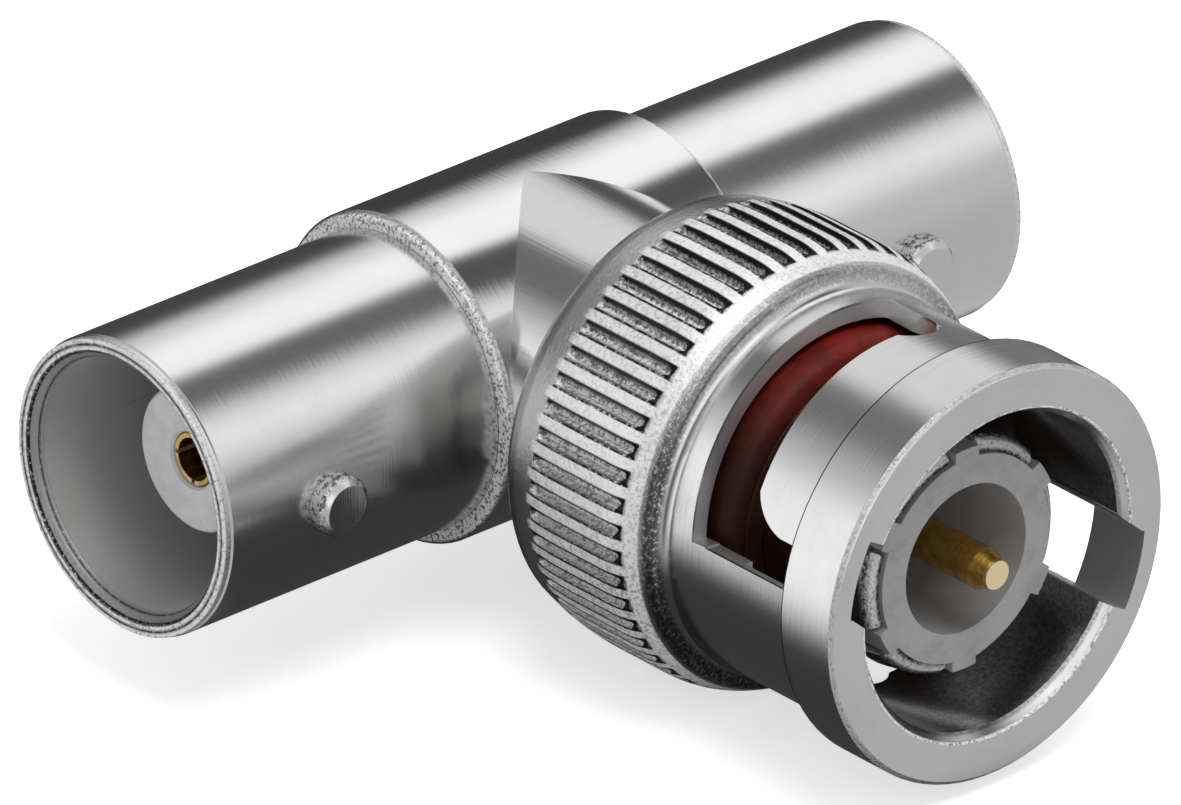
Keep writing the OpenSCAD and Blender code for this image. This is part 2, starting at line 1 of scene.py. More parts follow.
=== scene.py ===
"""Pieces, finishes and studio of a coaxial bayonet tee adapter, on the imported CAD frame."""
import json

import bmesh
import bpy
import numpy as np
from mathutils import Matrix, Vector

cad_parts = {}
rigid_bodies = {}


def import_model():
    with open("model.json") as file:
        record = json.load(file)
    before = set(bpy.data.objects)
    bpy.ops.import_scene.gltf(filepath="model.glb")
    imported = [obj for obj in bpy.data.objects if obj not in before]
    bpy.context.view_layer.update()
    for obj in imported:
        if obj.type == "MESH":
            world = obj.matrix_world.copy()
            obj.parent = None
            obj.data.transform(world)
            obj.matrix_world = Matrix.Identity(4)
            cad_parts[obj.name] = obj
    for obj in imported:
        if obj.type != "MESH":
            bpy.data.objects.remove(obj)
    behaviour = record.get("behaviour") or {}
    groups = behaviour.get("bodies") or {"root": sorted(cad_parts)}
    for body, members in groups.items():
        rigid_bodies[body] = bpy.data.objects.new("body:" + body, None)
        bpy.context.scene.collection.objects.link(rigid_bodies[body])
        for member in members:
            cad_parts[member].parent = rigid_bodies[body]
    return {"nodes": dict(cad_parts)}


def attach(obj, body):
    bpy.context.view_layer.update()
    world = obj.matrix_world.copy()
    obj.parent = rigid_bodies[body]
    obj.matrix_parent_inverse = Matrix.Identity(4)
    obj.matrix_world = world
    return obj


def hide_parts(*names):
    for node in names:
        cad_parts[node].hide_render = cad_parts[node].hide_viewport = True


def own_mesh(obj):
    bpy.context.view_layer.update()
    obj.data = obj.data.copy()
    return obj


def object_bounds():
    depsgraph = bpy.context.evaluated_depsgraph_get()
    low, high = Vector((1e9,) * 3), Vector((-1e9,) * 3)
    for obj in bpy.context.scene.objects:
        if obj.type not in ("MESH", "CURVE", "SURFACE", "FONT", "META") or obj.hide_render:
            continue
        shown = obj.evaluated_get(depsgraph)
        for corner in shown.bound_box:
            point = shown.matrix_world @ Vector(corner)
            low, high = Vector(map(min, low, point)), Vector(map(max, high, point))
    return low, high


bl_info = {
    "name": "Bayonet tee adapter",
    "version": (1, 0, 0),
    "blender": (4, 5, 0),
    "location": "3D View > Sidebar > Tee adapter",
    "description": "Plated shells, knurled coupling nut, gilt contacts and studio of a coaxial tee",
    "category": "Object",
}

for leftover in list(bpy.data.objects):
    bpy.data.objects.remove(leftover)
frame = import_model()
CAD_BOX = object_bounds()

MM = 0.001
# The tee's centre, from which lengths called "at" are measured along a jack or the plug
TEE_CENTRE = np.array([0.0, 20.1, 0.0])
TOP = np.array([0.0, 0.0, 1.0])
RIGHT_WAY = (np.array([1.0, 0.0, 0.0]), np.array([0.0, -1.0, 0.0]))
LEFT_WAY = (np.array([-1.0, 0.0, 0.0]), np.array([0.0, -1.0, 0.0]))
SIDES = {"left": LEFT_WAY, "right": RIGHT_WAY}


class PlateFinish(bpy.types.PropertyGroup):
    """Nickel plate of body, shells, lugs, sleeve and nut."""

    colour: bpy.props.FloatVectorProperty(
        name="Nickel", description="Colour of the bright nickel plate",
        subtype="COLOR", size=3, min=0, max=1, default=(0.66, 0.66, 0.655))
    worn_colour: bpy.props.FloatVectorProperty(
        name="Worn nickel", description="Colour where the plate is dull or dirty",
        subtype="COLOR", size=3, min=0, max=1, default=(0.36, 0.355, 0.35))
    roughness: bpy.props.FloatProperty(
        name="Roughness", description="Roughness of the smooth turned faces",
        subtype="FACTOR", min=0, max=1, default=0.2)
    grain: bpy.props.FloatProperty(
        name="Edge grain", description="Height of the grain along edges and on the knurl",
        subtype="DISTANCE", unit="LENGTH", min=0, default=0.00003, precision=6)
    marks: bpy.props.FloatProperty(
        name="Turning marks", description="Height of the marks that turning left",
        subtype="DISTANCE", unit="LENGTH", min=0, default=0.000003, precision=7)


class GiltFinish(bpy.types.PropertyGroup):
    """Gold plate of the contacts and the plug's pin."""

    colour: bpy.props.FloatVectorProperty(
        name="Gilt", description="Colour of the gold plate",
        subtype="COLOR", size=3, min=0, max=1, default=(0.83, 0.6, 0.22))
    shade_colour: bpy.props.FloatVectorProperty(
        name="Dull gilt", description="Colour of the gold plate where it is dull",
        subtype="COLOR", size=3, min=0, max=1, default=(0.5, 0.3, 0.06))
    pin_colour: bpy.props.FloatVectorProperty(
        name="Pin", description="Colour of the plug's pin",
        subtype="COLOR", size=3, min=0, max=1, default=(0.8, 0.47, 0.1))
    tip_colour: bpy.props.FloatVectorProperty(
        name="Pin's tip", description="Colour of the flat at the pin's tip",
        subtype="COLOR", size=3, min=0, max=1, default=(0.98, 0.8, 0.48))
    roughness: bpy.props.FloatProperty(
        name="Roughness", description="Roughness of the gold plate",
        subtype="FACTOR", min=0, max=1, default=0.24)


class SoftFinish(bpy.types.PropertyGroup):
    """Insulators and the gasket."""

    white: bpy.props.FloatVectorProperty(
        name="White insulator", description="Colour of the jacks' insulators",
        subtype="COLOR", size=3, min=0, max=1, default=(0.8, 0.8, 0.805))
    grey: bpy.props.FloatVectorProperty(
        name="Grey insulator", description="Colour of the plug's front insulator",
        subtype="COLOR", size=3, min=0, max=1, default=(0.37, 0.37, 0.375))
    rubber: bpy.props.FloatVectorProperty(
        name="Gasket", description="Colour of the gasket's silicone rubber",
        subtype="COLOR", size=3, min=0, max=1, default=(0.2, 0.016, 0.01))


class TurnedShape(bpy.types.PropertyGroup):
    """How finely the turned pieces are drawn, and how far their edges are rounded."""

    segments: bpy.props.IntProperty(
        name="Segments", description="Segments round a turned piece",
        min=48, max=512, default=240)
    edge_round: bpy.props.FloatProperty(
        name="Edge round", description="Radius of the shells' ordinary edges, twice the spring's",
        subtype="DISTANCE", unit="LENGTH", min=0, default=0.00004, precision=6)
    fine_edge: bpy.props.FloatProperty(
        name="Fine edge", description="Width of rounded edges on lugs, sleeve and front insulator",
        subtype="DISTANCE", unit="LENGTH", min=0, default=0.00003, precision=6)


class StudioLight(bpy.types.PropertyGroup):
    """Floor, lamp and room round the object."""

    floor: bpy.props.FloatVectorProperty(
        name="Floor", description="Colour of the floor",
        subtype="COLOR", size=3, min=0, max=1, default=(0.93, 0.93, 0.93))
    floor_glow: bpy.props.FloatProperty(
        name="Floor glow", description="White that is added to the floor where the camera sees it",
        min=0, max=1, default=0.62)
    sky_level: bpy.props.FloatProperty(
        name="Room light", description="Level of the light from all round",
        min=0, max=2, default=0.64)
    lamp_level: bpy.props.FloatProperty(
        name="Top lamp", description="Level of the light from the soft lamp overhead",
        min=0, max=4, default=0.5)
    lens: bpy.props.FloatProperty(
        name="Lens", description="Focal length for the photograph's view",
        subtype="DISTANCE_CAMERA", min=10, max=2000, default=1097)


# Outlines and turned surfaces

def rounded(corners, radii, steps=5):
    """Outline of a turned piece as points (radius, at) and their outward normals.

    Each corner of the closed polygon gives way to the arc that touches both of its sides: the
    arc's centre lies on the corner's bisector at radius / sin(half the corner's angle), and its
    ends lie at radius / tan(half the angle) from the corner.
    """
    point = np.asarray(corners, float)
    back = np.roll(point, 1, axis=0) - point
    ahead = np.roll(point, -1, axis=0) - point
    back_length = np.linalg.norm(back, axis=1, keepdims=True)
    ahead_length = np.linalg.norm(ahead, axis=1, keepdims=True)
    back, ahead = back / back_length, ahead / ahead_length
    half = 0.5 * np.arccos(np.clip((back * ahead).sum(1, keepdims=True), -1, 1))
    radius = np.broadcast_to(np.asarray(radii, float), len(point))[:, None]
    reach = np.minimum(radius / np.tan(half), 0.48 * np.minimum(back_length, ahead_length))
    bisector = back + ahead
    bisector = bisector / np.linalg.norm(bisector, axis=1, keepdims=True)
    centre = point + bisector * reach / np.cos(half)
    start, stop = point + back * reach - centre, point + ahead * reach - centre
    angle = (np.pi - 2 * half)[:, None]
    share = np.linspace(0, 1, steps)[None, :, None]
    before, after = (1 - share) * angle, share * angle
    arc = (start[:, None] * np.sin(before) + stop[:, None] * np.sin(after)) / np.sin(angle)
    way = stop[:, None] * np.cos(after) - start[:, None] * np.cos(before)
    way = (way / np.linalg.norm(way, axis=2, keepdims=True)).reshape(-1, 2)
    x, y = point.T
    area = 0.5 * (x * np.roll(y, -1) - np.roll(x, -1) * y).sum()
    outward = np.stack([way[:, 1], -way[:, 0]], 1) * np.sign(area)
    return (centre[:, None] + arc).reshape(-1, 2), outward


def swing(way, radius, turn, at):
    """Sum of a radius at a turn from the top round an axis and a length along the axis."""
    axis, side = way
    return (at[..., None] * axis + (radius * np.cos(turn))[..., None] * TOP
            + (radius * np.sin(turn))[..., None] * side)


def grid_faces(rows, columns, closed):
    """Corner numbers of the squares of a grid, which may close on itself both ways."""
    open_ends = 0 if closed else 1
    row, column = np.meshgrid(np.arange(rows - open_ends), np.arange(columns - open_ends),
                              indexing="ij")
    below, beside = (row + 1) % rows, (column + 1) % columns
    corners = (row, column), (row, beside), (below, beside), (below, column)
    return np.stack([(r * columns + c).ravel() for r, c in corners], 1)


def turned(way, outline, segments):
    """Ring-shaped solid: the closed outline (radius, at) carried round an axis by a whole turn."""
    points, normals = outline
    turn = np.linspace(0, 2 * np.pi, segments, endpoint=False)[None]
    place = (swing(way, points[:, :1], turn, points[:, 1:] + 0 * turn) + TEE_CENTRE) * MM
    normal = swing(way, normals[:, :1], turn, normals[:, 1:] + 0 * turn)
    faces = grid_faces(len(points), segments, True)
    return solid(place.reshape(-1, 3), faces, normal.reshape(-1, 3)[faces])


def solid(place, faces, corner_normals):
    """Vertices, faces and corner normals of a closed shape, its faces turned to look outwards."""
    a, b, c, d = (place[faces[:, i]] for i in range(4))
    volume = (a * np.cross(b, c)).sum() + (a * np.cross(c, d)).sum()
    if volume < 0:
        faces, corner_normals = faces[:, ::-1], corner_normals[:, ::-1]
    return place, faces, corner_normals


def make_piece(name, solids, body, nodes):
    """Joins closed shapes into one object that stands for CAD nodes; equal points become one."""
    offsets = np.cumsum([0] + [len(s[0]) for s in solids[:-1]])
    place = np.concatenate([s[0] for s in solids])
    faces = np.concatenate([s[1] + o for s, o in zip(solids, offsets)])
    normals = np.concatenate([s[2] for s in solids])
    shell = np.repeat(np.arange(len(solids)), [len(s[0]) for s in solids])
    key = np.column_stack([np.round(place * 1e8).astype(np.int64), shell])
    _, first, same = np.unique(key, axis=0, return_index=True, return_inverse=True)
    faces = same.ravel()[faces]
    distinct = faces != np.roll(faces, 1, axis=1)
    keep = distinct.sum(1) >= 3
    faces, normals, distinct = faces[keep], normals[keep], distinct[keep]
    counts = distinct.sum(1)
    mesh = bpy.data.meshes.new(name)
    mesh.vertices.add(len(first))
    mesh.vertices.foreach_set("co", place[first].ravel())
    mesh.loops.add(int(counts.sum()))
    mesh.loops.foreach_set("vertex_index", faces[distinct].astype(np.int32))
    mesh.polygons.add(len(counts))
    mesh.polygons.foreach_set("loop_start", (np.cumsum(counts) - counts).astype(np.int32))
    mesh.polygons.foreach_set("loop_total", counts.astype(np.int32))
    mesh.polygons.foreach_set("use_smooth", np.ones(len(counts), bool))
    mesh.update(calc_edges=True)
    mesh.validate()
    mesh.normals_split_custom_set(normals[distinct].tolist())
    piece = bpy.data.objects.new(name, mesh)
    bpy.context.scene.collection.objects.link(piece)
    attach(piece, body)
    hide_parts(*nodes)
    return piece


# Angle between two faces, from which the edge between them is sharp and gets rounded
SHARP = np.radians(28)


def softened(name, node, body, width):
    """Copy of a CAD node with its triangles merged, flat faces joined and its edges rounded."""
    source = frame["nodes"][node]
    mesh = bpy.data.meshes.new(name)
    work = bmesh.new()
    work.from_mesh(source.data)
    bmesh.ops.remove_doubles(work, verts=work.verts, dist=1e-7)
    bmesh.ops.dissolve_limit(work, angle_limit=np.radians(0.3), verts=work.verts, edges=work.edges)
    work.to_mesh(mesh)
    work.free()
    mesh.polygons.foreach_set("use_smooth", np.ones(len(mesh.polygons), bool))
    mesh.set_sharp_from_angle(angle=SHARP)
    piece = bpy.data.objects.new(name, mesh)
    bpy.context.scene.collection.objects.link(piece)
    bevel = piece.modifiers.new("Rounded edges", "BEVEL")
    bevel.limit_method = "ANGLE"
    bevel.angle_limit = SHARP
    bevel.width = width
    bevel.segments = 2
    bevel.harden_normals = True
    bevel.use_clamp_overlap = True
    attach(piece, body)
    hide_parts(node)
    return piece


# Finishes

class Wire:
    """Socket of a node tree; sums, products and powers of it add their maths nodes."""

    def __init__(self, nodes, socket):
        self.nodes, self.socket = nodes, socket

    def __add__(self, other): return self.nodes.maths("ADD", self, other)
    def __radd__(self, other): return self.nodes.maths("ADD", other, self)
    def __sub__(self, other): return self.nodes.maths("SUBTRACT", self, other)
    def __rsub__(self, other): return self.nodes.maths("SUBTRACT", other, self)
    def __mul__(self, other): return self.nodes.maths("MULTIPLY", self, other)
    def __rmul__(self, other): return self.nodes.maths("MULTIPLY", other, self)
    def __pow__(self, other): return self.nodes.maths("POWER", self, other)
    def __abs__(self): return self.nodes.maths("ABSOLUTE", self)
    def __neg__(self): return self.nodes.maths("MULTIPLY", self, -1.0)


def rgba(colour):
    return colour if isinstance(colour, Wire) else (*colour[:3], 1.0)


class Nodes:
    """Node tree of a material or of the room, and the one method that adds nodes to it."""

    def __init__(self, tree):
        self.tree = tree
        tree.nodes.clear()

    def node(self, kind, settings, inputs):
        made = self.tree.nodes.new(kind)
        for key, value in settings.items():
            setattr(made, key, value)
        for key, value in inputs.items():
            if isinstance(value, Wire):
                self.tree.links.new(value.socket, made.inputs[key])
            else:
                made.inputs[key].default_value = value
        return made

    def wire(self, kind, settings, inputs, output=0):
        """One output of a new node."""
        return Wire(self, self.node(kind, settings, inputs).outputs[output])

    def maths(self, operation, first, second=0.0):
        return self.wire("ShaderNodeMath", {"operation": operation}, {0: first, 1: second})

    def vector(self, x, y, z):
        return self.wire("ShaderNodeCombineXYZ", {}, {0: x, 1: y, 2: z})

    def place(self, centre=TEE_CENTRE * MM, unit=MM):
        """Object coordinates from a centre, counted in a unit of length: x, y and z."""
        shifted = self.wire("ShaderNodeMapping", {}, {
            "Vector": self.wire("ShaderNodeTexCoord", {}, {}, "Object"),
            "Location": -centre / unit, "Scale": (1 / unit, 1 / unit, 1 / unit)})
        split = self.node("ShaderNodeSeparateXYZ", {}, {0: shifted})
        return [Wire(self, split.outputs[i]) for i in range(3)]

    def noise(self, vector, scale, detail, roughness):
        return self.wire("ShaderNodeTexNoise", {}, {
            "Vector": vector, "Scale": scale, "Detail": detail, "Roughness": roughness})

    def fade(self, value, low, high):
        """0 below low and 1 above high, smooth between; low may be the larger one."""
        return self.wire("ShaderNodeMapRange", {"interpolation_type": "SMOOTHSTEP"}, {
            "Value": value, "From Min": low, "From Max": high})

    def near(self, value, place, width):
        """1 at a place, fading to 0 at a distance of width."""
        return self.fade(abs(value - place), width, width * 0.25)

    def blend(self, factor, first, second):
        return self.wire("ShaderNodeMix", {"data_type": "RGBA"},
                         {0: factor, 6: rgba(first), 7: rgba(second)}, 2)

    def bump(self, height, distance):
        return self.wire("ShaderNodeBump", {}, {
            "Height": height, "Distance": distance, "Strength": 1.0})


class Finish(Nodes):
    """Material of a piece or of a sheet of the studio."""

    def __init__(self, name):
        self.material = bpy.data.materials.new(name)
        self.material.use_nodes = True
        super().__init__(self.material.node_tree)

    def show(self, shader):
        """Ends the material with its surface shader."""
        self.node("ShaderNodeOutputMaterial", {}, {0: shader})
        return self.material

    def wear(self, base_color, roughness, normal, other):
        """Ends the material with a Principled shader."""
        return self.show(self.wire("ShaderNodeBsdfPrincipled", {}, {
            "Base Color": base_color, "Roughness": roughness, "Normal": normal, **other}))


class TurnedFinish(Finish):
    """Finish of pieces that are turned about the jacks' or the plug's axis.

    radius is the distance from that axis, and at the length along it from the tee's centre.
    """

    def __init__(self, name, along_plug):
        super().__init__(name)
        self.along_plug = along_plug
        self.x, self.y, self.z = self.place()
        self.where = self.vector(self.x, self.y, self.z)
        across = self.x if along_plug else self.y
        self.radius = (across * across + self.z * self.z) ** 0.5
        self.at = -self.y if along_plug else abs(self.x)

    def marks(self, across, along):
        """Noise drawn out round the axis, like the marks of a turning tool."""
        if self.along_plug:
            drawn = self.vector(self.x * across, self.at * along, self.z * across)
        else:
            drawn = self.vector(self.at * along, self.y * across, self.z * across)
        return self.noise(drawn, 1.0, 3.0, 0.6)


# Near black that the lines masks paint on the plate as shade
PAINTED_SHADE_BLACK = (0.012, 0.012, 0.012)
# White that the bright masks paint on the plate as highlights
PAINTED_HIGHLIGHT_WHITE = (0.95, 0.95, 0.95)


def nickel(name, along_plug, grained, satin=None, lines=None, bright=None, smooth=1.0, clouds=1.0,
           pale=0.0, grain_scale=8.0):
    """Nickel plate with turning marks, clouds and fine pits.

    grained, satin, lines and bright are masks. Where grained is 1 the plate is coarse and
    sparkling, where satin is 1 it is matt and its share pale shows as a pale film, where lines is
    1 it is painted near black as shade, and where bright is 1 it is painted white as a highlight.
    smooth multiplies the plate's roughness, and clouds the strength of its clouds and of the dark
    in its marks.
    """
    plate = bpy.context.scene.tee_plate
    finish = TurnedFinish(name, along_plug)
    grain = finish.grain = finish.noise(finish.where, grain_scale, 3.0, 0.75)
    marks = finish.marks(0.22, 9.0)
    cloud = finish.noise(finish.where, 0.55, 4.0, 0.6)
    pits = finish.noise(finish.where, 9.0, 2.0, 0.7)
    coarse = grained(finish)
    dull = (finish.fade(cloud, 0.42, 0.75) * 0.1 + finish.fade(marks, 0.5, 0.75) * 0.06) * clouds
    dull = dull + coarse * finish.fade(grain, 0.5, 0.4) * 0.8
    colour = finish.blend(dull, plate.colour, plate.worn_colour)
    rough = plate.roughness * smooth + (cloud - 0.5) * 0.06 * clouds + (pits - 0.5) * 0.05
    rough = rough + coarse * 0.12
    height = marks * (plate.marks / plate.grain) + pits * 0.012 + coarse * (grain - 0.5) * 2.4
    metal = 1.0
    if satin is not None:
        matt = satin(finish)
        rough = rough + matt * 0.2
        metal = metal - matt * pale
    # Painted highlight: white and less metallic where the bright mask is 1
    if bright is not None:
        painted_glint = bright(finish)
        colour = finish.blend(painted_glint, colour, PAINTED_HIGHLIGHT_WHITE)
        rough = rough + painted_glint * 0.2
        metal = metal - painted_glint * 0.75
    # Painted shade: near black where the lines mask is 1
    if lines is not None:
        colour = finish.blend(lines(finish), colour, PAINTED_SHADE_BLACK)
    return finish.wear(colour, rough, finish.bump(height, plate.grain), {"Metallic": metal})


def gilt(name, along_plug, colour, tip_at=None):
    """Gold plate with turning marks round its axis and dull patches, and a pale flat at its tip."""
    colours = bpy.context.scene.tee_gilt
    finish = TurnedFinish(name, along_plug)
    marks = finish.marks(0.6, 14.0)
    cloud = finish.noise(finish.where, 2.2, 3.0, 0.6)
    dull = finish.fade(cloud * 0.6 + marks * 0.4, 0.4, 0.64)
    base = finish.blend(dull, colour, colours.shade_colour)
    if tip_at is not None:
        flat = finish.fade(finish.at, tip_at - 0.05, tip_at - 0.02)
        base = finish.blend(flat, base, colours.tip_colour)
    return finish.wear(base, colours.roughness + (marks - 0.5) * 0.25,
                       finish.bump(marks + cloud * 0.4, 0.000012), {"Metallic": 1.0})


def moulded(name, colour, roughness):
    """Turned plastic: fine tooth and slight change of shade."""
    finish = Finish(name)
    where = finish.vector(*finish.place())
    cloud = finish.noise(where, 0.9, 3.0, 0.6)
    tooth = finish.noise(where, 14.0, 2.0, 0.6)
    shade = tuple(0.82 * c for c in colour)
    patches = finish.fade(cloud * 0.7 + tooth * 0.3, 0.42, 0.68)
    return finish.wear(finish.blend(patches, colour, shade), roughness + (tooth - 0.5) * 0.2,
                       finish.bump(tooth * 0.4 + cloud * 0.2, 0.00001),
                       {"Specular IOR Level": 0.4})


def rubber(name):
    """Silicone rubber: fine tooth and sooty patches, and painted shade, dark below, where the nut
    shades it.
    """
    colour = bpy.context.scene.tee_soft.rubber
    finish = Finish(name)
    x, y, z = finish.place()
    where = finish.vector(x, y, z)
    cloud = finish.noise(where, 1.4, 3.0, 0.6)
    tooth = finish.noise(where, 11.0, 2.0, 0.7)
    sooty = finish.blend(finish.fade(cloud, 0.35, 0.7), colour, tuple(0.5 * c for c in colour))
    # Painted shade: near black towards the bottom, where the nut shades the gasket
    below = finish.fade(z, 6.0, 2.6) * 0.95
    return finish.wear(finish.blend(below, sooty, (0.018, 0.005, 0.002)),
                       0.5 + (tooth - 0.5) * 0.3,
                       finish.bump(tooth * 0.7 + cloud * 0.5, 0.00002),
                       {"Specular IOR Level": 0.16})


def rolled(name):
    """Rolled spring strip with fine scratches."""
    finish = Finish(name)
    x, y, z = finish.place()
    scratch = finish.noise(finish.vector(x * 0.8, -y, z * 8.0), 1.6, 3.0, 0.6)
    return finish.wear(finish.blend(scratch, (0.42, 0.42, 0.44), (0.6, 0.6, 0.62)),
                       0.28 + scratch * 0.14, finish.bump(scratch, 0.000006), {"Metallic": 1.0})


def dress(piece, material):
    """Gives one finish to a whole piece or CAD node."""
    if piece.material_slots:
        for slot in piece.material_slots:
            slot.link = "OBJECT"
            slot.material = material
    else:
        piece.data.materials.append(material)


# Masks of the plate: each is 1 where a look lies and 0 elsewhere on the turned finish that it is
# worked out on. Lengths are in millimetres, and a look is broken up where it follows the grain.

BODY_END = 5.28
SHELL_RIM = 16.3
KNURL_END = 13.2
RING_REAR = 19.3
NUT_FACE = 21.5
RING_RADIUS = 6.81
MOUTH_RADIUS = 5.44
GROOVES = 51
FIRST_GROOVE = 1.22  # degrees from +X towards the top
GROOVE_PITCH = 0.887
GROOVE_REAR = 8.42
GROOVE_FRONT = 12.48
GROOVE_EDGE = 0.04  # how far the bounds of the grooves are soft, to either side


def body_end(on, width):
    """1 on the ring at either end of the barrel, and 0 on the branch's sides."""
    return (on.near(on.at, BODY_END, width) * on.fade(on.radius, 4.8, 4.85)
            * on.fade(on.radius, 5.6, 5.45))


def body_edges(on):
    return body_end(on, 0.26)


# Painted highlight on the rings at the barrel's ends, broken up by the grain
def body_painted_glint(on):
    return body_end(on, 0.12) * on.fade(on.grain, 0.42, 0.5)


def shell_edges(on):
    return on.near(on.at, SHELL_RIM, 0.25) * 0.6


def shell_bore(on):
    return on.fade(on.radius, 4.4, 4.2)


def rim_painted_highlight(on):
    """Two painted highlights, bright rings on the rim."""
    rings = on.near(on.radius, 4.7, 0.09) + on.near(on.radius, 4.46, 0.07)
    return rings * on.fade(on.at, 15.9, 16.1) * on.fade(on.grain, 0.38, 0.46)


def rim_painted_shade(on):
    """Painted shade in three rings on the rim, and less dark all over the lead inside it."""
    rings = (on.near(on.radius, 4.58, 0.05) + on.near(on.radius, 4.36, 0.07)
             + on.near(on.radius, 4.12, 0.05))
    rings = rings * on.fade(on.at, 15.9, 16.1) * on.fade(on.grain, 0.7, 0.5) * 0.9
    return rings + on.fade(on.radius, 4.37, 4.31) * on.fade(on.at, 15.84, 15.92) * 0.5


def lug_edges(on):
    return on.fade(on.radius, 5.45, 5.3)


# Painted shade on the lugs nearer the axis than 5.35 mm, broken up by the grain
def lug_painted_shade(on):
    return on.fade(on.radius, 5.45, 5.35) * on.fade(on.grain, 0.5, 0.42) * 0.7


def sleeve_edges(on):
    return on.fade(on.at, 19.5, 19.65)


def tip_painted_highlight(on):
    """Painted highlight: a bright arc on each finger's tip."""
    return (on.near(on.radius, 3.67, 0.11) * on.fade(on.at, 19.6, 19.68)
            * on.fade(on.grain, 0.36, 0.44))


def tip_painted_shade(on):
    """Painted shade on both sides of the painted highlight's arc."""
    sides = on.fade(on.radius, 3.56, 3.5) + on.fade(on.radius, 3.78, 3.84)
    return sides * on.fade(on.at, 19.55, 19.65) * (0.35 + on.fade(on.grain, 0.56, 0.44) * 0.55)


def groove_offset(on):
    """Distance from the middle line of the nearest groove of the knurl: the turn about the plug's
    axis, counted in grooves, less its nearest whole number, times the pitch."""
    turn = on.maths("ARCTAN2", on.z, on.x)
    count = turn * (GROOVES / (2 * np.pi)) + (0.5 - FIRST_GROOVE * GROOVES / 360)
    return (on.maths("FRACT", count) - 0.5) * GROOVE_PITCH


def groove_stretch(on):
    """1 between the rear and the front ends of the grooves."""
    return (on.fade(on.at, GROOVE_REAR - GROOVE_EDGE, GROOVE_REAR + GROOVE_EDGE)
            * on.fade(on.at, GROOVE_FRONT + GROOVE_EDGE, GROOVE_FRONT - GROOVE_EDGE))


def groove_inside(on, half_width):
    """1 in the grooves, out to half a width from their middle lines."""
    off = abs(groove_offset(on))
    return on.fade(off, half_width + GROOVE_EDGE, half_width - GROOVE_EDGE) * groove_stretch(on)


def nut_edges(on):
    """Knurl, most of all in its grooves, and the edges of the front ring and of the mouth."""
    knurl = on.fade(on.at, 13.3, 13.1) * (0.3 + groove_inside(on, 0.21) * 0.5)
    ring = on.near(on.radius, RING_RADIUS, 0.16) * on.near(on.at, NUT_FACE, 0.16)
    mouth = on.near(on.radius, MOUTH_RADIUS, 0.07) * on.fade(on.at, 21.3, 21.4)
    return knurl + ring + mouth


def nut_inside(on):
    """1 between the bore and the outside of the nut's middle, as on the walls of the slots."""
    return on.fade(on.radius, 6.2, 6.12) * on.fade(on.radius, 5.5, 5.7)


def nut_painted_highlight(on):
    """Painted highlight on the lower flank of each groove and on the edge of the mouth, and less
    white on the ridges between the grooves and the band in front of them."""
    off = groove_offset(on)
    flank = on.fade(off, -0.06, 0.0) * on.fade(off, 0.18, 0.14) * groove_stretch(on)
    mouth = on.near(on.radius, MOUTH_RADIUS, 0.06) * on.fade(on.at, 21.3, 21.4)
    sparkle = on.fade(on.grain, 0.44, 0.5)
    ridges = on.fade(abs(off), 0.26, 0.3) * on.fade(on.at, 8.1, 8.4)
    ridges = ridges + on.fade(on.at, 12.5, 12.6) * (1.0 - ridges)
    ridges = ridges * on.fade(on.at, 13.02, 12.94) * (0.45 + sparkle * 0.45)
    return (flank + mouth) * sparkle + ridges


def nut_painted_shade(on):
    """Painted shade along the sides, in the hollow and at the front end of each groove, behind the
    front ring, at the knurl's foot, where it is darker towards the bottom, and in the bore; and a
    darker band at the nut's rear.
    """
    off = groove_offset(on)
    upper = on.fade(off, -0.27, -0.22) * on.fade(off, -0.1, -0.17)
    hollow = (on.fade(off, -0.2, -0.1) * on.fade(off, 0.06, 0.0)
              * on.fade(on.grain, 0.56, 0.46) * 0.6)
    lower = on.near(off, 0.235, 0.06) * on.fade(on.grain, 0.62, 0.5)
    grooves = (upper + hollow + lower) * groove_stretch(on)
    ends = groove_inside(on, 0.22) * on.fade(on.at, 12.16, 12.22)
    ring = on.near(on.at, RING_REAR, 0.05) * on.fade(on.radius, 6.5, 6.6)
    foot = (on.fade(on.radius, 7.1, 7.0) * on.near(on.at, KNURL_END, 0.2)
            * on.fade(on.grain, 0.62, 0.5) * (0.3 + on.fade(on.z, 5.5, 2.0) * 0.5))
    rear = on.near(on.at, 7.3, 0.3) * 0.4
    bore = (on.fade(on.radius, 5.5, 5.4) * on.fade(on.at, 21.35, 21.25)
            * (0.3 + on.fade(on.grain, 0.6, 0.4) * 0.3))
    return grooves + ends + ring + foot + rear + bore


# Operators, one for each piece or group of like pieces

class TEE_OT_body(bpy.types.Operator):
    """Body with its branch, end faces grained"""

    bl_idname = "tee.body"
    bl_label = "Body"

    def execute(self, context):
        dress(frame["nodes"]["tee_body"],
              nickel("Bright nickel, body", False, body_edges, bright=body_painted_glint,
                     smooth=0.75, clouds=0.6))
        return {"FINISHED"}


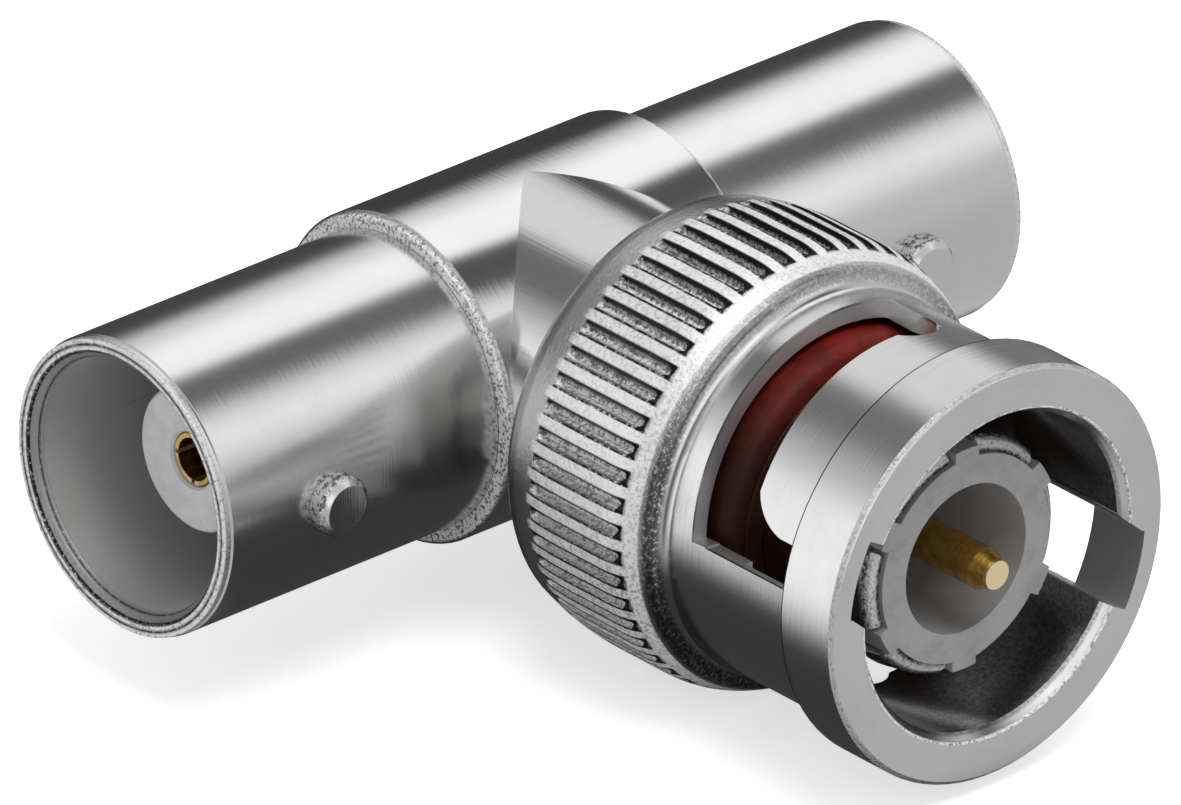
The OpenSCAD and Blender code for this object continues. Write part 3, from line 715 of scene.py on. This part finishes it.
class TEE_OT_jack_shells(bpy.types.Operator):
    """Shells of both jacks, with stepped and rounded rims"""

    bl_idname = "tee.jack_shells"
    bl_label = "Jack shells"

    def execute(self, context):
        shape = context.scene.tee_shape
        edge = shape.edge_round / MM
        outline = rounded([
            (3.0, 3.23), (4.18, 3.23), (4.18, 5.28), (4.825, 5.28), (4.825, 16.02), (4.77, 16.07),
            (4.77, 16.3), (4.39, 16.3), (4.2, 16.1), (4.07, 15.9), (4.07, 7.6), (3.0, 7.6),
        ], [edge, edge, edge, edge, 0.03, 0.02, 0.05, 0.05, 0.03, 0.04, 0.08, edge])
        finish = nickel("Bright nickel, shells", False, shell_edges, satin=shell_bore,
                        lines=rim_painted_shade, bright=rim_painted_highlight, smooth=1.05, clouds=0.6, pale=0.35)
        for side, way in SIDES.items():
            shell = make_piece(f"{side}_shell", [turned(way, outline, shape.segments)],
                               "tee", [f"{side}_jack_shell"])
            dress(shell, finish)
        return {"FINISHED"}


class TEE_OT_lugs(bpy.types.Operator):
    """Bayonet lugs, with grained flanks and polished tips"""

    bl_idname = "tee.lugs"
    bl_label = "Bayonet lugs"

    def execute(self, context):
        finish = nickel("Grained nickel, lugs", False, lug_edges, lines=lug_painted_shade, smooth=0.7,
                        grain_scale=5.0)
        for side in SIDES:
            lugs = softened(f"{side}_lugs", f"{side}_bayonet_lugs", "tee",
                            context.scene.tee_shape.fine_edge)
            dress(lugs, finish)
        return {"FINISHED"}


class TEE_OT_jack_cores(bpy.types.Operator):
    """Insulators and contacts of both jacks, and the conductor and the insulator between them"""

    bl_idname = "tee.jack_cores"
    bl_label = "Jack cores"

    def execute(self, context):
        white = moulded("White turned plastic", context.scene.tee_soft.white, 0.45)
        gold = gilt("Gold plate, contacts", False, context.scene.tee_gilt.colour)
        for side in SIDES:
            for node in (f"{side}_jack_insulator", f"{side}_core_bush"):
                dress(frame["nodes"][node], white)
            dress(frame["nodes"][f"{side}_socket_contact"], gold)
        dress(frame["nodes"]["plug_rear_insulator"], white)
        dress(frame["nodes"]["cross_conductor"], gold)
        return {"FINISHED"}


class TEE_OT_plug_core(bpy.types.Operator):
    """Pin and front insulator of the plug"""

    bl_idname = "tee.plug_core"
    bl_label = "Plug core"

    def execute(self, context):
        collar = softened("ribbed_insulator", "plug_front_insulator", "tee",
                          context.scene.tee_shape.fine_edge)
        dress(collar, moulded("Grey turned plastic", context.scene.tee_soft.grey, 0.5))
        dress(frame["nodes"]["plug_pin"],
              gilt("Gold plate, pin", True, context.scene.tee_gilt.pin_colour, tip_at=21.5))
        return {"FINISHED"}


class TEE_OT_sleeve(bpy.types.Operator):
    """Plug sleeve with its spring fingers"""

    bl_idname = "tee.sleeve"
    bl_label = "Plug sleeve"

    def execute(self, context):
        sleeve = softened("spring_fingers", "plug_sleeve", "tee",
                          context.scene.tee_shape.fine_edge)
        dress(sleeve, nickel("Bright nickel, sleeve", True, sleeve_edges, bright=tip_painted_highlight,
                             lines=tip_painted_shade))
        return {"FINISHED"}


class TEE_OT_nut(bpy.types.Operator):
    """Coupling nut with knurl, bayonet slots and front ring"""

    bl_idname = "tee.nut"
    bl_label = "Coupling nut"

    def execute(self, context):
        dress(frame["nodes"]["coupling_nut"],
              nickel("Satin nickel, nut", True, nut_edges, satin=nut_inside, lines=nut_painted_shade,
                     bright=nut_painted_highlight))
        return {"FINISHED"}


class TEE_OT_seals(bpy.types.Operator):
    """Gasket, wave spring and thrust washers"""

    bl_idname = "tee.seals"
    bl_label = "Gasket and springs"

    def execute(self, context):
        dress(frame["nodes"]["gasket"], rubber("Red silicone rubber"))
        strip = rolled("Rolled spring strip")
        for node in ("front_thrust_washer", "rear_thrust_washer"):
            dress(frame["nodes"][node], strip)
        spring = softened("waved_ring", "wave_spring", "tee",
                          context.scene.tee_shape.edge_round / 2)
        dress(spring, strip)
        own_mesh(spring)
        return {"FINISHED"}


# Studio, with its lengths in metres

TENT_CENTRE = np.array([0.0, 0.01, 0.0])
TENT_RADIUS = 0.45
TENT_LEVEL = 0.7
# Panels of the light tent: level, azimuths, elevations and how many degrees their edges are soft
PANELS = [
    (0.6, (-20, 380), (-130, -5), 12),
    (0.055, (126, 217), (-70, 22), 9),
    (1.35, (100, 139), (29, 72), 8),
    (0.96, (138, 172), (27, 62), 9),
    (0.2, (175, 213), (28, 68), 9),
    (1.3, (219, 252), (-20, 28), 10),
    (1.2, (26, 59), (22, 46), 11),
    (0.1, (61, 99), (40, 78), 7),
    (0.15, (268, 296), (-30, 60), 10),
    (1.3, (300, 335), (5, 50), 10),
]
FLOOR_HALF = 1.5
FLOOR_GAP = 0.00002
SHADE_GAP = 0.00001
SHADE_LEVEL = 0.05
LAMP_DISTANCE = 0.8
CAMERA_DISTANCE = 1.1


def direction(azimuth, elevation):
    """Unit vectors at azimuths from -Y towards +X and elevations above the horizon, in degrees."""
    azimuth, elevation = np.radians(azimuth), np.radians(elevation)
    return np.stack([np.cos(elevation) * np.sin(azimuth), -np.cos(elevation) * np.cos(azimuth),
                     np.sin(elevation) + 0 * azimuth], -1)


def stage_sheet(name, place, material):
    """Open sheet of the studio, from a grid of places, with its own UV map."""
    rows, columns = place.shape[:2]
    faces = grid_faces(rows, columns, False)
    mesh = bpy.data.meshes.new(name)
    mesh.from_pydata(place.reshape(-1, 3).tolist(), [], faces.tolist())
    across, along = np.meshgrid(np.linspace(0, 1, columns), np.linspace(0, 1, rows))
    uv = np.stack([across, along], -1).reshape(-1, 2)[faces].astype(np.float32)
    mesh.uv_layers.new(name="UVMap").data.foreach_set("uv", uv.ravel())
    sheet = bpy.data.objects.new(name, mesh)
    bpy.context.scene.collection.objects.link(sheet)
    sheet.data.materials.append(material)
    return sheet


def level_sheet(name, x, y, height, material):
    """Level sheet of the studio over a grid of lengths x and y."""
    x, y = np.meshgrid(x, y)
    return stage_sheet(name, np.stack([x, y, np.full_like(x, height)], -1), material)


def only_in_plate(sheet, material):
    """Only reflections in plated surfaces show the sheet; it throws no shadow and no light."""
    material.cycles.emission_sampling = "NONE"
    sheet.visible_camera = False
    sheet.visible_diffuse = False
    sheet.visible_shadow = False
    sheet.visible_transmission = False


class TEE_OT_studio(bpy.types.Operator):
    """Floor, light tent, lamp, room light and camera"""

    bl_idname = "tee.studio"
    bl_label = "Studio"

    def execute(self, context):
        studio = context.scene.tee_studio
        floor_at = CAD_BOX[0].z - FLOOR_GAP
        self.floor(studio, floor_at)
        self.tent()
        self.shade(floor_at)
        self.lamp(studio)
        self.room(context, studio)
        self.camera(context, studio)
        return {"FINISHED"}

    def floor(self, studio, floor_at):
        """Floor that is white to the camera and keeps the object's soft shadow."""
        finish = Finish("Plain pale floor")
        plain = finish.wire("ShaderNodeBsdfPrincipled", {}, {
            "Base Color": rgba(studio.floor), "Roughness": 0.8, "Specular IOR Level": 0.1})
        seen = finish.wire("ShaderNodeLightPath", {}, {}, "Is Camera Ray")
        glow = finish.wire("ShaderNodeEmission", {}, {"Strength": seen * studio.floor_glow})
        finish.show(finish.wire("ShaderNodeAddShader", {}, {0: plain, 1: glow}))
        span = np.linspace(-FLOOR_HALF, FLOOR_HALF, 3)
        floor = level_sheet("floor", span, span, floor_at, finish.material)
        floor.visible_glossy = False

    def tent(self):
        """Light tent round the object, which its plated surfaces alone show.

        Its level starts at TENT_LEVEL and is taken over by each panel inside its azimuths and
        elevations.
        """
        finish = Finish("Light tent")
        x, y, z = finish.place(TENT_CENTRE, TENT_RADIUS)
        turn = finish.maths("ARCTAN2", -x, y) * (180 / np.pi) + 180
        rise = finish.maths("ARCSINE", z) * (180 / np.pi)
        level = TENT_LEVEL
        for value, turns, rises, soft in PANELS:
            inside = 1.0
            for angle, (low, high) in ((turn, turns), (rise, rises)):
                middle, half = (low + high) / 2, (high - low) / 2
                inside = inside * finish.fade(abs(angle - middle), half + soft, half - soft)
            level = level + inside * (value - level)
        finish.show(finish.wire("ShaderNodeEmission", {}, {"Strength": level}))
        azimuth, elevation = np.meshgrid(np.linspace(0, 360, 73), np.linspace(-89.9, 89.9, 37))
        place = TENT_CENTRE + TENT_RADIUS * direction(azimuth, elevation)
        only_in_plate(stage_sheet("light_tent", place, finish.material), finish.material)

    def shade(self, floor_at):
        """Dark sheet just over the floor, for the object's own shade in its plated undersides."""
        finish = Finish("Shade")
        x, y, z = finish.place()
        inside = (finish.fade(x, -19.5, -11.5) * finish.fade(x, 18.0, 10.0)
                  * finish.fade(y, -23.5, -20.5) * finish.fade(y, 24.0, 14.0))
        glow = finish.wire("ShaderNodeEmission", {}, {"Strength": SHADE_LEVEL})
        clear = finish.wire("ShaderNodeBsdfTransparent", {}, {})
        finish.show(finish.wire("ShaderNodeMixShader", {}, {0: inside, 1: clear, 2: glow}))
        sheet = level_sheet("shade", np.linspace(-0.02, 0.02, 9), np.linspace(-0.004, 0.045, 9),
                            floor_at + SHADE_GAP, finish.material)
        only_in_plate(sheet, finish.material)

    def lamp(self, studio):
        """Soft disk lamp overhead, turned to the origin."""
        data = bpy.data.lights.new("top_lamp", "AREA")
        data.shape = "DISK"
        data.size = 0.5
        data.energy = studio.lamp_level * (np.pi * LAMP_DISTANCE) ** 2
        lamp = bpy.data.objects.new("top_lamp", data)
        lamp.location = Vector(direction(-20.0, 72.0)) * LAMP_DISTANCE
        lamp.rotation_euler = lamp.location.to_track_quat("Z", "Y").to_euler()
        bpy.context.scene.collection.objects.link(lamp)

    def room(self, context, studio):
        """White room to the camera, to metal and to glass, and plain even light on the rest."""
        world = bpy.data.worlds.new("Room")
        world.use_nodes = True
        room = Nodes(world.node_tree)
        path = room.node("ShaderNodeLightPath", {}, {})
        camera, metal, glass = (Wire(room, path.outputs[f"Is {ray} Ray"])
                                for ray in ("Camera", "Glossy", "Transmission"))
        white = room.maths("MAXIMUM", camera, room.maths("MAXIMUM", metal, glass))
        background = room.wire("ShaderNodeBackground", {}, {
            "Strength": white * (1 - studio.sky_level) + studio.sky_level})
        room.node("ShaderNodeOutputWorld", {}, {0: background})
        context.scene.world = world
        context.scene.view_settings.view_transform = "Standard"

    def camera(self, context, studio):
        """Camera in the photograph's place, from a fit to the circles of jacks, body and nut."""
        right = Vector((0.74471, -0.66731, 0.00980))
        up = Vector((0.30261, 0.35072, 0.88624))
        back = Vector((-0.59484, -0.65703, 0.46312))
        data = bpy.data.cameras.new("camera")
        data.sensor_width = 36
        data.lens = studio.lens
        data.clip_start = 0.01
        data.clip_end = 10
        camera = bpy.data.objects.new("camera", data)
        place = Vector(TEE_CENTRE) * MM + right * 0.002073 - up * 0.002324 + back * CAMERA_DISTANCE
        turn = Matrix((right, up, back)).transposed().to_4x4()
        camera.matrix_world = Matrix.Translation(place) @ turn
        bpy.context.scene.collection.objects.link(camera)
        context.scene.camera = camera


OPERATORS = [TEE_OT_body, TEE_OT_jack_shells, TEE_OT_lugs, TEE_OT_jack_cores, TEE_OT_plug_core,
             TEE_OT_sleeve, TEE_OT_nut, TEE_OT_seals, TEE_OT_studio]
GROUPS = {"tee_plate": PlateFinish, "tee_gilt": GiltFinish, "tee_soft": SoftFinish,
          "tee_shape": TurnedShape, "tee_studio": StudioLight}


class TEE_PT_panel(bpy.types.Panel):
    """Panel in the 3D view's sidebar that lists the pieces and the studio"""

    bl_idname = "TEE_PT_panel"
    bl_label = "Tee adapter"
    bl_space_type = "VIEW_3D"
    bl_region_type = "UI"
    bl_category = "Tee adapter"

    def draw(self, context):
        for operator in OPERATORS:
            self.layout.operator(operator.bl_idname)
        for name, group in GROUPS.items():
            box = self.layout.box()
            for key in group.__annotations__:
                box.prop(getattr(context.scene, name), key)


def register():
    for item in [*GROUPS.values(), *OPERATORS, TEE_PT_panel]:
        bpy.utils.register_class(item)
    for name, group in GROUPS.items():
        setattr(bpy.types.Scene, name, bpy.props.PointerProperty(type=group))


def unregister():
    for name in GROUPS:
        delattr(bpy.types.Scene, name)
    for item in reversed([*GROUPS.values(), *OPERATORS, TEE_PT_panel]):
        bpy.utils.unregister_class(item)


def main():
    register()
    for operator in OPERATORS:
        group, name = operator.bl_idname.split(".")
        getattr(getattr(bpy.ops, group), name)()


if __name__ == "__main__":
    main()
